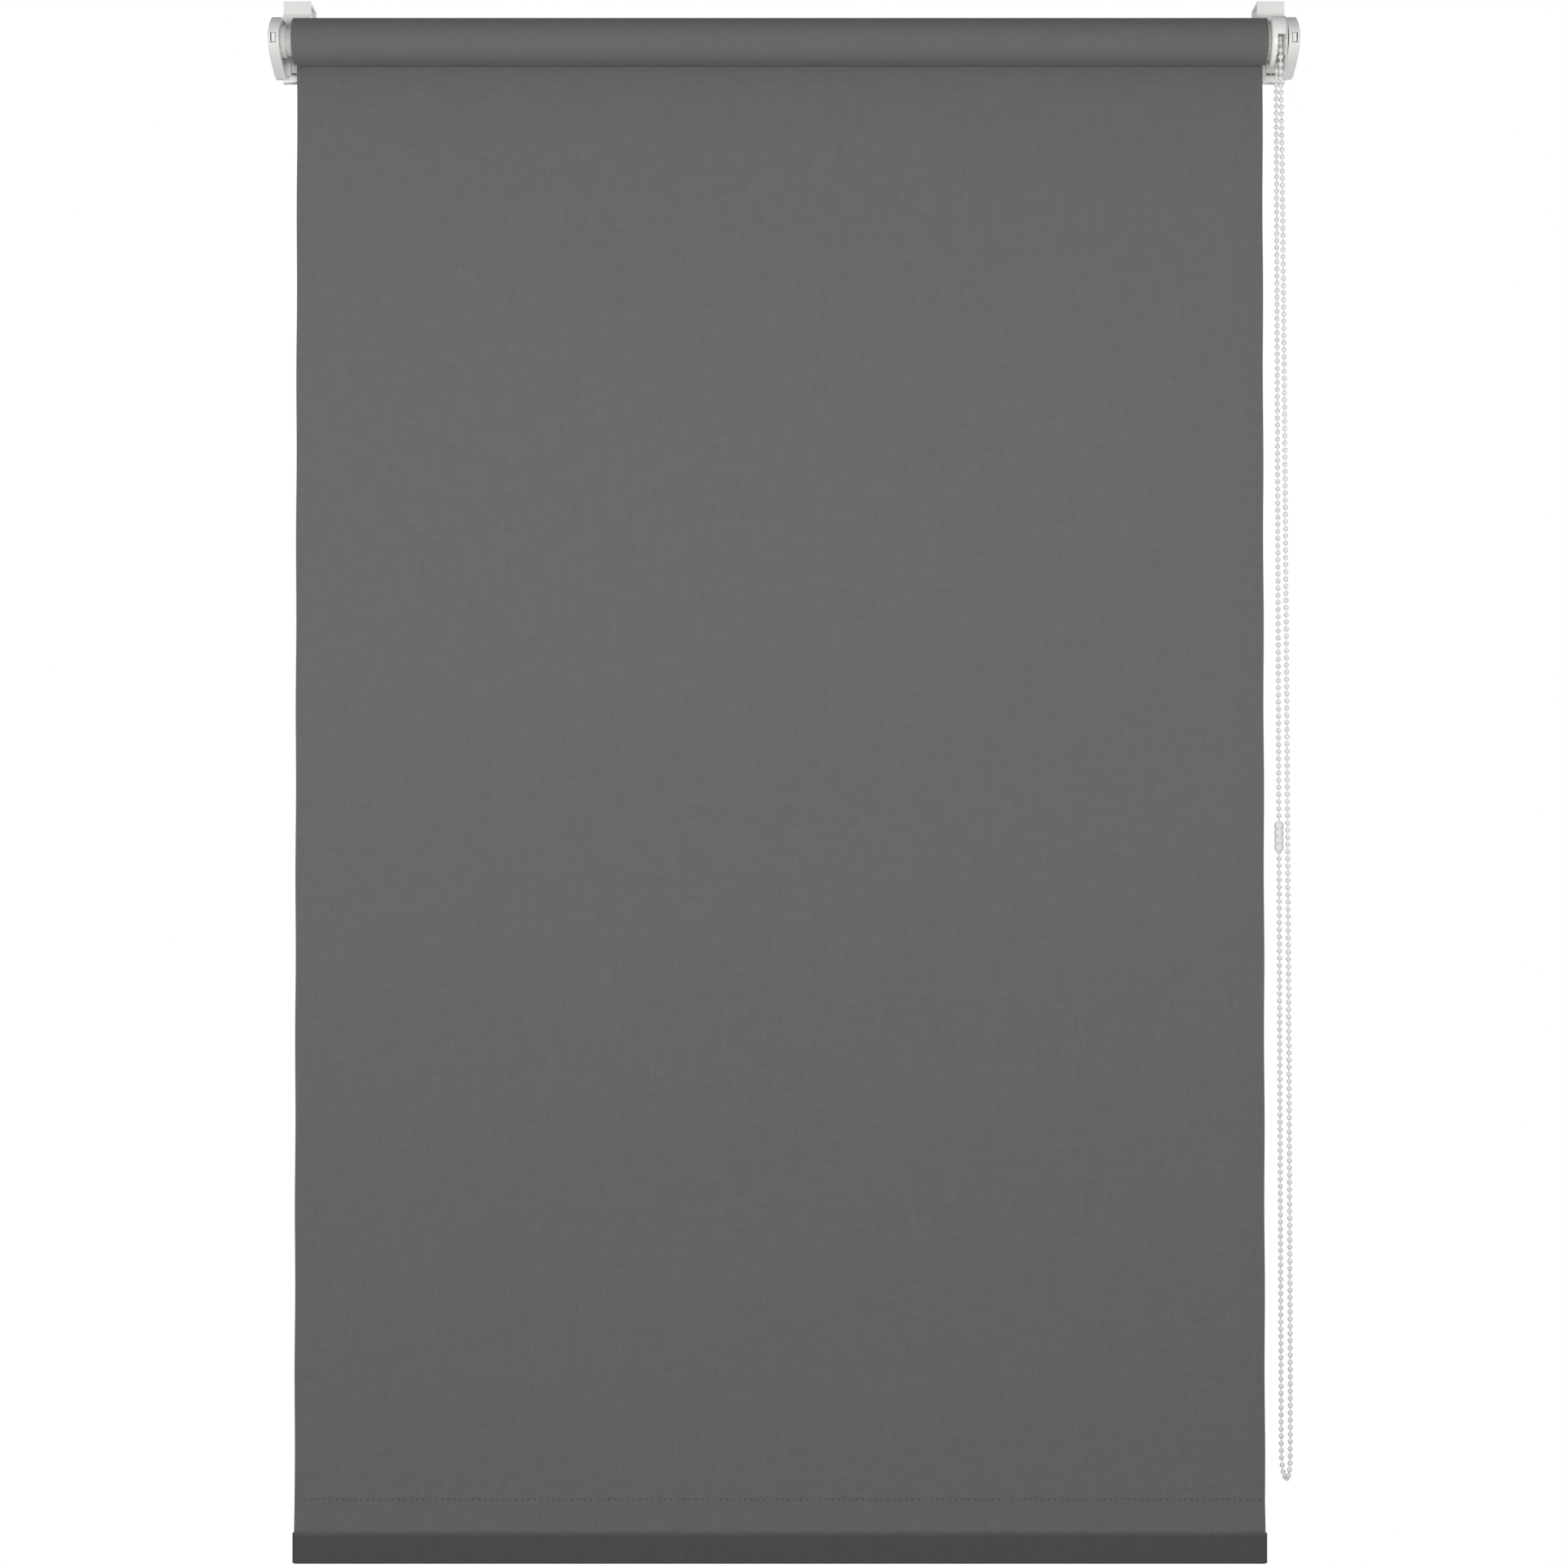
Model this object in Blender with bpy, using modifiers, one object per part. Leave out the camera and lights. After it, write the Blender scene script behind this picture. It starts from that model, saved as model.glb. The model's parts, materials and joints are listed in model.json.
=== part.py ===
"""Clamp-on roller blind: two sash hooks, a chain-driven roller, a hanging fabric and a bottom bar.

All sizes are millimetres until a shape is placed. The origin is the top front edge of the window
sash, midway between the hooks: +Z up, +Y towards the window, the room in front at -Y.
"""

import math

import bmesh
import bpy
from mathutils import Vector

MM = 0.001
GAP = 0.3            # between pieces that seat on each other

# ---- fabric and roller -------------------------------------------------------------------------
SHEET_WIDTH = 600.0
SHEET_THICK = 0.4
HALF_WIDTH = SHEET_WIDTH / 2
SHEET_X = -2.6       # centre of the fabric
DROP = 899.0         # roller axis to weld line
HEM_TALL = 41.0
HEM_BEVEL, HOLLOW_BEVEL = 0.63, 0.4   # bottom corners of the hem, outside and inside
AXIS_Y, AXIS_Z = -26.0, -28.5
ROLL_R = 14.5
TUBE_R, TUBE_WALL = 9.0, 0.8
TUBE_KEY_WIDE, TUBE_KEY_TALL = 2.0, 1.0
TAPE_THICK, TAPE_WIDE = 0.2, 8.0
BAR_TALL, BAR_THICK, BAR_WALL = 18.6, 3.2, 0.8
BAR_CAP_THICK = 1.2

# ---- brackets ----------------------------------------------------------------------------------
HOOK_X = HALF_WIDTH + 3.5   # hook centres, either side
HOOK_WIDE, HOOK_THICK = 17.0, 1.7
SASH_THICK = 18.0
LIP_THICK, LIP_TALL = 2.0, 9.0
HEAD_TALL = 6.9      # visible front of the hook below the sash top
LEG_WIDE, LEG_THICK, LEG_BOTTOM = 13.2, 2.2, -43.5
LEG_STEP = 0.1       # the leg is this much slimmer than the head on each face
CARRIER_WIDE, CARRIER_WALL = 17.6, 1.4
CARRIER_TOP, CARRIER_BOTTOM = -7.2, -49.7
FRONT_WALL = 1.6
PAD_THICK = 0.9
FOOT_TALL, FOOT_PROUD = 4.5, 1.1
SCREW_R, SCREW_HEAD_R, SCREW_HEAD_TALL = 1.2, 2.5, 1.9
SCREW_PLAY = 0.1
BOSS_WIDE, BOSS_DEEP, BOSS_TALL = 6.2, 3.7, 10.0
HOOK_LIFT = 3.4      # free height above the boss for loosening

# ---- side covers and plates --------------------------------------------------------------------
COVER_INNER_X, COVER_OUTER_X = HALF_WIDTH + 9.2, HALF_WIDTH + 16.0
COVER_WALL = 1.4
NOSE_Y, NOSE_DROP = -18.5, -1.3        # nose of the cover from the roller axis
UPPER_CURVE, LOWER_CURVE = 0.062, 0.093  # how quickly the nose widens above and below
COVER_TOP, COVER_LOW = 14.6, -19.8     # top and bottom of the cover from the axis
COVER_BACK_Y = -7.3
PLATE_THICK = 3.6
WINDOW_WIDE, WINDOW_TALL = 3.6, 6.2

# ---- chain drive -------------------------------------------------------------------------------
BEAD_R = 1.6
BEAD_PITCH = 4.4
WHEEL_BEADS = 13
WHEEL_R = BEAD_PITCH * WHEEL_BEADS / (2 * math.pi)
CHAIN_X = HALF_WIDTH + 5.1
WHEEL_HALF = 2.65
WHEEL_RIM_R = 11.3
RIM_NOTCH_R = 0.93
HUB_R, HUB_BORE_R = 6.2, 5.2
SPINDLE_R = 4.0
SPINDLE_SQUARE = 5.4
SPRING_WIRE_R = 0.35
BRAKE_TURNS = 4
HOUSING_R, HOUSING_WALL = 15.5, 2.2
HOUSING_LEFT = HALF_WIDTH - 0.8
HOUSING_BORE_R = 7.4
CAP_THICK = 1.0
DRIVE_FLANGE_R, DRIVE_FLANGE_THICK, DRIVE_TEETH = 12.0, 1.4, 18
PLUG_R = 7.9
PLUG_LONG = 24.0

# ---- idler -------------------------------------------------------------------------------------
IDLER_FLANGE_R, IDLER_FLANGE_THICK = 10.0, 4.7
PIN_R, PIN_HEAD_R = 2.4, 3.1
PIN_PLAY = 0.3
PIN_REACH = 2.2      # how far the pin stands out of the flange
PIN_STROKE = 4.0
IDLER_SPRING_R, IDLER_SPRING_TURNS = 2.2, 5

ROLL_LEFT = SHEET_X - SHEET_WIDTH / 2
ROLL_RIGHT = SHEET_X + SHEET_WIDTH / 2
SHEET_Y = AXIS_Y + ROLL_R + GAP + SHEET_THICK / 2
CARRIER_BACK_Y = -PAD_THICK - GAP
LEG_BACK_Y = CARRIER_BACK_Y - CARRIER_WALL - GAP
LEG_FRONT_Y = LEG_BACK_Y - LEG_THICK
CARRIER_FRONT_Y = LEG_FRONT_Y - GAP - FRONT_WALL
SCREW_Y = (CARRIER_FRONT_Y + GAP + LEG_BACK_Y) / 2
FOOT_TOP = CARRIER_BOTTOM + FOOT_TALL
PLATE_INNER_X = COVER_INNER_X + 0.5
PLATE_OUTER_X = PLATE_INNER_X + PLATE_THICK
IDLER_FACE_X = -(PLATE_INNER_X + 1.3)
IDLER_RECESS_X = IDLER_FACE_X - GAP
AXIS = (0.0, AXIS_Y, AXIS_Z)
HEM_TOP = AXIS_Z - DROP
HEM_BOTTOM = HEM_TOP - HEM_TALL
WHEEL_LEFT, WHEEL_RIGHT = CHAIN_X - WHEEL_HALF, CHAIN_X + WHEEL_HALF
HOUSING_RIGHT = WHEEL_RIGHT + GAP
HUB_END = ROLL_RIGHT - PLUG_LONG + 3.0
TENON_TALL = 7.0
TENON_LEVELS = (AXIS_Z + 7.0, AXIS_Z - 9.0)
TENON_LONG = 1.7
SIDES = ((-1, "left"), (1, "right"))

# ---- the chain's way down the front strand and up the rear one ----------------------------------
FRONT_Y, REAR_Y = AXIS_Y - WHEEL_R, AXIS_Y + WHEEL_R
CHAIN_ROUTE = [
    (CHAIN_X, FRONT_Y, -29.0), (CHAIN_X + 0.2, FRONT_Y, -50.0), (CHAIN_X + 0.9, FRONT_Y, -100.0),
    (CHAIN_X + 1.8, FRONT_Y, -200.0), (CHAIN_X + 2.6, FRONT_Y, -330.0),
    (CHAIN_X + 3.3, FRONT_Y, -470.0), (CHAIN_X + 3.9, FRONT_Y, -620.0),
    (CHAIN_X + 4.3, FRONT_Y, -760.0), (CHAIN_X + 4.4, FRONT_Y, -850.0),
    (CHAIN_X + 4.3, FRONT_Y, -895.0), (CHAIN_X + 4.1, FRONT_Y + 0.9, -905.0),
    (CHAIN_X + 3.7, FRONT_Y + 4.0, -910.6), (CHAIN_X + 3, AXIS_Y, -913.0),
    (CHAIN_X + 2.3, REAR_Y - 4.0, -910.6), (CHAIN_X + 1.8, REAR_Y - 0.9, -905.0),
    (CHAIN_X + 1.55, REAR_Y, -895.0), (CHAIN_X + 1.45, REAR_Y, -850.0),
    (CHAIN_X + 1.17, REAR_Y, -690.0), (CHAIN_X + 0.82, REAR_Y, -510.0),
    (CHAIN_X + 0.5, REAR_Y, -320.0), (CHAIN_X + 0.2, REAR_Y, -145.0), (CHAIN_X, REAR_Y, -29.0),
]
CHAIN_STEP = 24.0
JOINER_R, JOINER_BORE_R, JOINER_LOBES = 2.85, 1.95, 4
JOINER_AT = (CHAIN_X + 0.84, REAR_Y, -519.0)

FABRIC = ("anthracite_fabric", (0.12, 0.122, 0.127), 0.85, 0.0)
WHITE = ("white_plastic", (0.78, 0.78, 0.74), 0.4, 0.0)
CLEAR = ("clear_plastic", (0.80, 0.83, 0.84), 0.15, 0.0)
BEAD = ("bead_plastic", (0.85, 0.86, 0.86), 0.3, 0.0)
DARK = ("dark_plastic", (0.06, 0.06, 0.065), 0.5, 0.0)
ALUMINIUM = ("aluminium", (0.75, 0.75, 0.76), 0.35, 1.0)
STEEL = ("spring_steel", (0.55, 0.55, 0.56), 0.3, 1.0)
FOAM = ("foam_pad", (0.62, 0.62, 0.60), 0.9, 0.0)

PARTS = "roller_blind"
CUTTERS = "roller_blind_cutters"


# ---- helpers -----------------------------------------------------------------------------------
def start():
    for obj in list(bpy.data.objects):
        bpy.data.objects.remove(obj, do_unlink=True)
    for name in (PARTS, CUTTERS):
        bpy.context.scene.collection.children.link(bpy.data.collections.new(name))


def put_in(obj, collection):
    for other in list(obj.users_collection):
        other.objects.unlink(obj)
    bpy.data.collections[collection].objects.link(obj)


def material(finish):
    name, colour, roughness, metallic = finish
    mat = bpy.data.materials.get(name)
    if mat is None:
        mat = bpy.data.materials.new(name)
        mat.use_nodes = True
        shader = mat.node_tree.nodes["Principled BSDF"]
        shader.inputs["Base Color"].default_value = (*colour, 1.0)
        shader.inputs["Roughness"].default_value = roughness
        shader.inputs["Metallic"].default_value = metallic
    return mat


def own_material(obj, finish):
    mat = material(finish).copy()
    mat.name = obj.name + "_" + finish[0]
    obj.data.materials.clear()
    obj.data.materials.append(mat)


def finish_piece(obj, name, finish, smooth=False):
    """A finish makes the object a part; None makes it a cutter or a shape to be joined."""
    obj.name = obj.data.name = name
    if finish is None:
        put_in(obj, CUTTERS)
        obj.hide_render = True
        obj.display_type = "WIRE"
    else:
        put_in(obj, PARTS)
        own_material(obj, finish)
        if smooth:
            obj.data.shade_smooth()
            obj.data.set_sharp_from_angle(angle=math.radians(35))
    return obj


def bevel(obj, width, segments=2):
    mod = obj.modifiers.new("round", "BEVEL")
    mod.width = width * MM
    mod.segments = segments
    mod.limit_method = "ANGLE"
    mod.angle_limit = math.radians(40)
    return obj


def box(name, x, y, z, finish=None, edge=0.0):
    """A box between two corners, given as (low, high) on each axis."""
    bpy.ops.mesh.primitive_cube_add(size=1.0)
    obj = bpy.context.object
    for v in obj.data.vertices:
        v.co = Vector([(b[1] - b[0]) * MM * c for b, c in zip((x, y, z), v.co)])
    obj.location = [(b[0] + b[1]) / 2 * MM for b in (x, y, z)]
    finish_piece(obj, name, finish)
    return bevel(obj, edge) if edge else obj


def mesh_object(name, vertices, edges):
    mesh = bpy.data.meshes.new(name)
    mesh.from_pydata(vertices, edges, [])
    obj = bpy.data.objects.new(name, mesh)
    bpy.context.scene.collection.objects.link(obj)
    return obj


def turned(name, profile, centre, finish=None, along="x", steps=48, closed=True):
    """Turn a (radius, distance) outline about the x or z line through centre.

    The outline runs down the outer side first; distances count along that line from zero.
    """
    count = len(profile)
    edges = [(i, i + 1) for i in range(count - 1)] + ([(count - 1, 0)] if closed else [])
    obj = mesh_object(name, [(r * MM, 0.0, d * MM) for r, d in profile], edges)
    screw = obj.modifiers.new("turn", "SCREW")
    screw.axis = "Z"
    screw.steps = screw.render_steps = steps
    screw.use_merge_vertices = True
    screw.merge_threshold = 0.00001
    screw.use_smooth_shade = True
    obj.location = [c * MM for c in centre]
    if along == "x":
        obj.rotation_euler = (0.0, math.radians(90), 0.0)
    return finish_piece(obj, name, finish)


def ring(name, outer, inner, low, high, centre, finish=None, along="x", steps=48):
    """A tube of two radii, or a solid cylinder where the inner radius is 0."""
    if inner > 0:
        profile = [(outer, high), (outer, low), (inner, low), (inner, high)]
        return turned(name, profile, centre, finish, along, steps)
    profile = [(0.0, high), (outer, high), (outer, low), (0.0, low)]
    return turned(name, profile, centre, finish, along, steps, closed=False)


def curve_to_mesh(obj, name, finish):
    """The curve as a welded mesh, so that it can be cut."""
    bpy.context.view_layer.update()
    graph = bpy.context.evaluated_depsgraph_get()
    mesh = bpy.data.meshes.new_from_object(obj.evaluated_get(graph))
    work = bmesh.new()
    work.from_mesh(mesh)
    bmesh.ops.remove_doubles(work, verts=work.verts, dist=0.000001)
    bmesh.ops.recalc_face_normals(work, faces=work.faces)
    work.to_mesh(mesh)
    work.free()
    solid = bpy.data.objects.new(name, mesh)
    bpy.context.scene.collection.objects.link(solid)
    solid.matrix_world = obj.matrix_world.copy()
    bpy.data.objects.remove(obj, do_unlink=True)
    return finish_piece(solid, name, finish)


def plate(name, outlines, x, finish=None):
    """Flat outlines of (y, z) points, the later ones holes, given a thickness between two x values."""
    data = bpy.data.curves.new(name, "CURVE")
    data.dimensions = "2D"
    data.fill_mode = "BOTH"
    data.extrude = (x[1] - x[0]) / 2 * MM
    for points in outlines:
        spline = data.splines.new("POLY")
        spline.points.add(len(points) - 1)
        for point, (y, z) in zip(spline.points, points):
            point.co = (y * MM, z * MM, 0.0, 1.0)
        spline.use_cyclic_u = True
    obj = bpy.data.objects.new(name, data)
    bpy.context.scene.collection.objects.link(obj)
    obj.rotation_euler = (math.radians(90), 0.0, math.radians(90))
    obj.location = ((x[0] + x[1]) / 2 * MM, 0.0, 0.0)
    return curve_to_mesh(obj, name, finish)


def wire(name, points, radius, finish, closed=False):
    """A round wire or cord through the points."""
    data = bpy.data.curves.new(name, "CURVE")
    data.dimensions = "3D"
    data.bevel_depth = radius * MM
    data.bevel_resolution = 2
    data.use_fill_caps = True
    spline = data.splines.new("POLY")
    spline.points.add(len(points) - 1)
    for point, p in zip(spline.points, points):
        point.co = (p[0] * MM, p[1] * MM, p[2] * MM, 1.0)
    spline.use_cyclic_u = closed
    spline.use_smooth = True
    obj = bpy.data.objects.new(name, data)
    bpy.context.scene.collection.objects.link(obj)
    obj.name = name
    put_in(obj, PARTS)
    own_material(obj, finish)
    return obj


def boolean(obj, other, operation):
    mod = obj.modifiers.new(operation.lower(), "BOOLEAN")
    mod.operation = operation
    mod.solver = "EXACT"
    mod.object = other
    return obj


def cut(obj, *cutters):
    for cutter in cutters:
        boolean(obj, cutter, "DIFFERENCE")
    return obj


def join(obj, *others):
    for other in others:
        boolean(obj, other, "UNION")
    return obj


def mirrored(side, low, high):
    """An x range on the right side, or its mirror image on the left."""
    return (low, high) if side > 0 else (-high, -low)


def smooth_route(points, spacing):
    """Points about a spacing apart on a Catmull-Rom curve through the given points."""
    knots = [Vector(p) for p in points]
    knots = [2 * knots[0] - knots[1]] + knots + [2 * knots[-1] - knots[-2]]
    route = []
    for a, b, c, d in zip(knots, knots[1:], knots[2:], knots[3:]):
        steps = max(1, round((c - b).length / spacing))
        for i in range(steps):
            t = i / steps
            route.append(0.5 * (2 * b + (c - a) * t + (2 * a - 5 * b + 4 * c - d) * t * t
                                + (3 * b - a - 3 * c + d) * t ** 3))
    route.append(knots[-2])
    return route


# ---- brackets ----------------------------------------------------------------------------------
def hook(side, label):
    """Strap over the sash with a lip behind it, and a leg that slides in the carrier."""
    x = side * HOOK_X
    half = HOOK_WIDE / 2
    lip_back = SASH_THICK + LIP_THICK
    strap_outline = [
        (LEG_FRONT_Y, -HEAD_TALL), (LEG_BACK_Y, -HEAD_TALL), (LEG_BACK_Y, 0.0), (SASH_THICK, 0.0),
        (SASH_THICK, -LIP_TALL), (lip_back, -LIP_TALL), (lip_back, HOOK_THICK),
        (LEG_FRONT_Y, HOOK_THICK),
    ]
    piece = plate(label + "_hook", [strap_outline], (x - half, x + half), WHITE)
    bevel(piece, 0.3, 1)
    leg = box(label + "_hook_leg", (x - LEG_WIDE / 2, x + LEG_WIDE / 2),
              (LEG_FRONT_Y + LEG_STEP, LEG_BACK_Y - LEG_STEP),
              (LEG_BOTTOM + BOSS_TALL / 2, -HEAD_TALL + 1.0))
    boss = box(label + "_hook_boss", (x - BOSS_WIDE / 2, x + BOSS_WIDE / 2),
               (LEG_BACK_Y - BOSS_DEEP, LEG_BACK_Y - 2 * LEG_STEP),
               (LEG_BOTTOM, LEG_BOTTOM + BOSS_TALL))
    bore = ring(label + "_hook_bore", SCREW_R + SCREW_PLAY, 0.0, LEG_BOTTOM - 1.0,
                LEG_BOTTOM + BOSS_TALL - 0.6, (x, SCREW_Y, 0.0), None, "z", 24)
    join(piece, leg, boss)
    return cut(piece, bore)


def carrier(side, label):
    """Sleeve for the hook's leg, with a foot that holds the clamp screw and notches for the plate."""
    x = side * HOOK_X
    half = CARRIER_WIDE / 2
    piece = box(label + "_carrier", (x - half, x + half), (CARRIER_FRONT_Y, CARRIER_BACK_Y),
                (CARRIER_BOTTOM, CARRIER_TOP), WHITE, 0.4)
    foot = box(label + "_foot", mirrored(side, HOOK_X - half + 0.6, COVER_INNER_X - 0.5),
               (CARRIER_FRONT_Y - FOOT_PROUD, CARRIER_BACK_Y - 0.5), (CARRIER_BOTTOM - 0.05, FOOT_TOP),
               None, 1.0)
    inner = LEG_WIDE / 2 + GAP
    channel = box(label + "_channel", (x - inner, x + inner), (LEG_FRONT_Y - GAP, LEG_BACK_Y + GAP),
                  (FOOT_TOP, CARRIER_TOP + 2.0))
    boss_half = BOSS_WIDE / 2 + GAP
    boss_window = box(label + "_boss_window", (x - boss_half, x + boss_half),
                      (CARRIER_FRONT_Y - 2.0, LEG_BACK_Y + GAP / 2),
                      (FOOT_TOP + 0.1, LEG_BOTTOM + BOSS_TALL + HOOK_LIFT + GAP))
    screw_hole = ring(label + "_screw_hole", SCREW_R + GAP, 0.0, CARRIER_BOTTOM - 1.0,
                      FOOT_TOP + 1.0, (x, SCREW_Y, 0.0), None, "z", 24)
    head_hole = ring(label + "_head_hole", SCREW_HEAD_R + GAP, 0.0, CARRIER_BOTTOM - 1.0,
                     CARRIER_BOTTOM + 0.3 + SCREW_HEAD_TALL + GAP, (x, SCREW_Y, 0.0), None, "z", 24)
    join(piece, foot)
    cut(piece, channel, boss_window, screw_hole, head_hole)
    for z in TENON_LEVELS:
        cut(piece, tenon(label + "_notch", side, z, GAP))
    return piece


def tenon(name, side, z, clearance=0.0):
    """Tab of the side plate that seats in the carrier's notch."""
    low, high = PLATE_INNER_X + 0.4 - clearance, PLATE_OUTER_X - 0.9 + clearance
    front = COVER_BACK_Y - 0.5
    reach = CARRIER_FRONT_Y + TENON_LONG - GAP
    return box(name, mirrored(side, low, high), (front, reach + clearance),
               (z - TENON_TALL / 2 - clearance, z + TENON_TALL / 2 + clearance))


def clamp_screw(side, label):
    head_low = CARRIER_BOTTOM + 0.3
    neck = head_low + SCREW_HEAD_TALL
    top = LEG_BOTTOM + BOSS_TALL - 0.6 - GAP
    profile = [(0.0, top), (SCREW_R - 0.4, top), (SCREW_R, top - 0.5), (SCREW_R, neck),
               (SCREW_HEAD_R - 0.2, neck), (SCREW_HEAD_R, neck - 0.2),
               (SCREW_HEAD_R, head_low), (0.0, head_low)]
    centre = (side * HOOK_X, SCREW_Y, 0.0)
    piece = turned(label + "_clamp_screw", profile, centre, STEEL, "z", 24, closed=False)
    for name, wide, deep in (("_slot_a", 3.0, 0.7), ("_slot_b", 0.7, 3.0)):
        cut(piece, box(label + name, (centre[0] - wide / 2, centre[0] + wide / 2),
                       (SCREW_Y - deep / 2, SCREW_Y + deep / 2), (head_low - 1.0, head_low + 0.9)))
    return piece


def pad(side, label):
    x = side * HOOK_X
    return box(label + "_pad", (x - 8.0, x + 8.0), (-PAD_THICK, 0.0),
               (CARRIER_BOTTOM + 2.0, CARRIER_TOP - 1.5), FOAM)


# ---- side covers and plates --------------------------------------------------------------------
def cover_outline(inset, back):
    """Bullet-shaped (y, z) outline: two parabolas from the nose, a flat top and a cut-off bottom."""
    def edge_point(h):
        curve = UPPER_CURVE if h > 0 else LOWER_CURVE
        y, slope = curve * h * h, 2 * curve * h
        normal = Vector((1.0, -slope)).normalized()
        return AXIS_Y + NOSE_Y + y + normal.x * inset, AXIS_Z + NOSE_DROP + h + normal.y * inset
    top, low = AXIS_Z + COVER_TOP - inset, AXIS_Z + COVER_LOW + inset
    span_up, span_down = COVER_TOP - NOSE_DROP, COVER_LOW - NOSE_DROP
    upper = [edge_point(span_up * i / 12) for i in range(12, 0, -1)]
    lower = [edge_point(span_down * i / 12) for i in range(0, 13)]
    curve = [(y, z) for y, z in upper + lower if low < z < top and y < back - 0.5]
    upper_y = AXIS_Y + NOSE_Y + UPPER_CURVE * span_up ** 2 + inset
    lower_y = min(AXIS_Y + NOSE_Y + LOWER_CURVE * span_down ** 2 + inset, back - 0.3)
    return [(back, top), (upper_y, top)] + curve + [(lower_y, low), (back, low)]


def side_cover(side, label):
    """Cup-shaped shell over the side plate, open towards the roller and at the back."""
    x_range = mirrored(side, COVER_INNER_X, COVER_OUTER_X)
    piece = plate(label + "_side_cover", [cover_outline(0.0, COVER_BACK_Y)], x_range, WHITE)
    bevel(piece, 0.9, 2)
    hollow = plate(label + "_hollow", [cover_outline(COVER_WALL, COVER_BACK_Y + 3.0)],
                   mirrored(side, COVER_INNER_X - 2.0, COVER_OUTER_X - COVER_WALL))
    middle = (COVER_INNER_X + COVER_OUTER_X) / 2
    nose = AXIS_Y + NOSE_Y
    window = box(label + "_window", mirrored(side, middle - WINDOW_WIDE / 2, middle + WINDOW_WIDE / 2),
                 (nose - 2.0, nose + COVER_WALL + 2.0),
                 (AXIS_Z + NOSE_DROP - WINDOW_TALL / 2, AXIS_Z + NOSE_DROP + WINDOW_TALL / 2))
    return cut(piece, hollow, window)


def side_plate(side, label):
    """Plate that carries the roller; its tongue snaps into the cover's window."""
    inset = COVER_WALL + GAP
    x_range = mirrored(side, PLATE_INNER_X, PLATE_OUTER_X)
    piece = plate(label + "_side_plate", [cover_outline(inset, COVER_BACK_Y)], x_range, WHITE)
    axis = (0.0, AXIS_Y, AXIS_Z)
    middle = (COVER_INNER_X + COVER_OUTER_X) / 2
    tongue_half = WINDOW_WIDE / 2 - 0.7
    nose = AXIS_Y + NOSE_Y
    tongue = box(label + "_tongue", mirrored(side, middle - tongue_half, middle + tongue_half),
                 (nose + 0.5, nose + inset + 3.0),
                 (AXIS_Z + NOSE_DROP - WINDOW_TALL / 2 + 0.5, AXIS_Z + NOSE_DROP + WINDOW_TALL / 2 - 0.5))
    join(piece, tongue)
    for z in TENON_LEVELS:
        join(piece, tenon(label + "_tenon", side, z))
    if side < 0:
        cut(piece, ring("idler_recess", IDLER_FLANGE_R + 0.5, 0.0, IDLER_RECESS_X, 0.0, axis),
            ring("idler_hole", PIN_R + PIN_PLAY, 0.0, -PLATE_OUTER_X - 2.0, 0.0, axis, None, "x", 32))
    else:
        cut(piece, square_bar("spindle_socket", SPINDLE_SQUARE + 2 * GAP, PLATE_INNER_X - 2.0,
                              PLATE_OUTER_X + 2.0))
    return piece


def square_bar(name, side_length, low, high, finish=None):
    half = side_length / 2
    return box(name, (low, high), (AXIS_Y - half, AXIS_Y + half), (AXIS_Z - half, AXIS_Z + half),
               finish)


# ---- roller ------------------------------------------------------------------------------------


def key_bar(name, low, high, clearance):
    """The rib inside the tube, or its slot in a plug."""
    half = TUBE_KEY_WIDE / 2 + clearance
    floor = AXIS_Z - TUBE_R + TUBE_WALL
    return box(name, (low, high), (AXIS_Y - half, AXIS_Y + half),
               (floor - 0.3 - clearance, floor + TUBE_KEY_TALL + clearance))


def roller_tube():
    piece = ring("roller_tube", TUBE_R, TUBE_R - TUBE_WALL, ROLL_LEFT, ROLL_RIGHT, AXIS, ALUMINIUM)
    return join(piece, key_bar("tube_key", ROLL_LEFT, ROLL_RIGHT, 0.0))


def wound_fabric():
    inner = TUBE_R + GAP
    piece = ring("wound_fabric", ROLL_R, inner, ROLL_LEFT, ROLL_RIGHT, AXIS, FABRIC, "x", 48)
    slot_half = TAPE_WIDE / 2 + GAP
    return cut(piece, box("tape_slot", (ROLL_LEFT - 1.0, ROLL_RIGHT + 1.0),
                          (AXIS_Y - slot_half, AXIS_Y + slot_half),
                          (AXIS_Z + TUBE_R - 1.0, AXIS_Z + TUBE_R + 2 * GAP + TAPE_THICK)))


def mounting_tape():
    low = AXIS_Z + TUBE_R + GAP
    return box("mounting_tape", (ROLL_LEFT + 2.0, ROLL_RIGHT - 2.0),
               (AXIS_Y - TAPE_WIDE / 2, AXIS_Y + TAPE_WIDE / 2), (low, low + TAPE_THICK), FOAM)


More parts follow.
